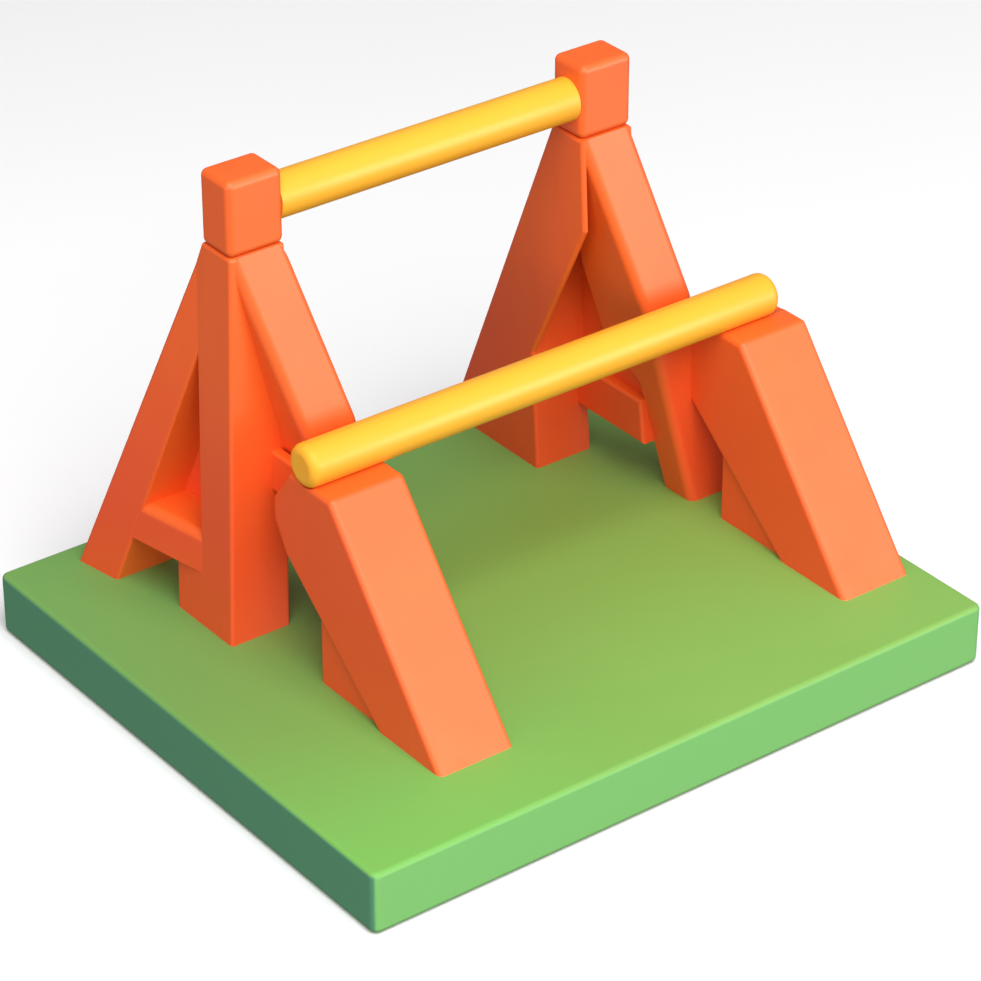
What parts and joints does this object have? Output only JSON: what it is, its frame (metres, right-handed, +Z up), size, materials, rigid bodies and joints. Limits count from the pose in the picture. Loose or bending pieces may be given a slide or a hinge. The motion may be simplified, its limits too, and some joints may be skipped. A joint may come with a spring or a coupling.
{
  "type": "uneven parallel bars",
  "caption": "Small painted timber uneven parallel bars on a green base, with orange frames and two yellow rails, the high one adjustable",
  "frame": {"origin": "on the floor, under the middle of the base", "axes": "+X along the rails towards the right frame, -Y towards the low rail and the front, +Z up"},
  "size_m": [0.72, 0.62, 0.55],
  "materials": {
    "green_paint": "satin green paint on board",
    "orange_paint": "satin orange paint on solid timber",
    "yellow_paint": "satin yellow paint on turned timber",
    "plain_timber": "bare planed timber and plywood",
    "steel": "turned, zinc plated steel",
    "bronze": "turned brass and bronze",
    "knob_plastic": "matte black moulded plastic",
    "foot_rubber": "moulded rubber"
  },
  "bodies": {
    "stand": {"deck_panel": "green_paint", "front_side_board": "green_paint", "rear_side_board": "green_paint", "left_end_board": "green_paint", "right_end_board": "green_paint", "bottom_panel": "plain_timber", "joist_1": "plain_timber", "joist_2": "plain_timber", "joist_3": "plain_timber", "joist_4": "plain_timber", "joist_5": "plain_timber", "joist_6": "plain_timber", "left_post": "orange_paint", "left_back_leg": "orange_paint", "left_crossbar": "orange_paint", "left_web_panel": "orange_paint", "right_web_panel": "orange_paint", "left_front_leg": "orange_paint", "right_back_leg": "orange_paint", "right_crossbar": "orange_paint", "right_front_leg": "orange_paint", "left_low_support": "orange_paint", "left_low_heel": "orange_paint", "right_low_support": "orange_paint", "right_low_heel": "orange_paint", "tie_block": "orange_paint", "low_rail": "yellow_paint", "frame_bolts": "steel", "housing_screws": "steel", "foot_screws": "steel", "panel_screws": "steel", "left_guide_bush": "bronze", "right_guide_bush": "bronze", "clamp_nuts": "bronze", "threaded_inserts": "bronze", "frame_dowels": "plain_timber", "low_rail_dowels": "plain_timber", "rubber_feet": "foot_rubber"},
    "high_bar_carriage": {"high_rail": "yellow_paint", "left_head_block": "orange_paint", "right_head_block": "orange_paint", "left_stem": "steel", "right_stem": "steel", "rail_pins": "steel", "stem_pins": "steel"},
    "left_clamp_screw": {"left_clamp_stud": "steel", "left_clamp_knob": "knob_plastic"},
    "right_clamp_screw": {"right_clamp_stud": "steel", "right_clamp_knob": "knob_plastic"}
  },
  "joints": [
    {"name": "high_bar_height", "type": "slide", "parent": "stand", "child": "high_bar_carriage", "axis": [0, 0, 1], "range_m": [0, 0.05]},
    {"name": "left_clamp_turn", "type": "hinge", "parent": "stand", "child": "left_clamp_screw", "pos_m": [-0.216, 0.11, 0.429], "axis": [0, 1, 0], "range_deg": [-58, 360]},
    {"name": "right_clamp_turn", "type": "hinge", "parent": "stand", "child": "right_clamp_screw", "pos_m": [0.195, 0.11, 0.429], "axis": [0, 1, 0], "range_deg": [-58, 360]}
  ]
}
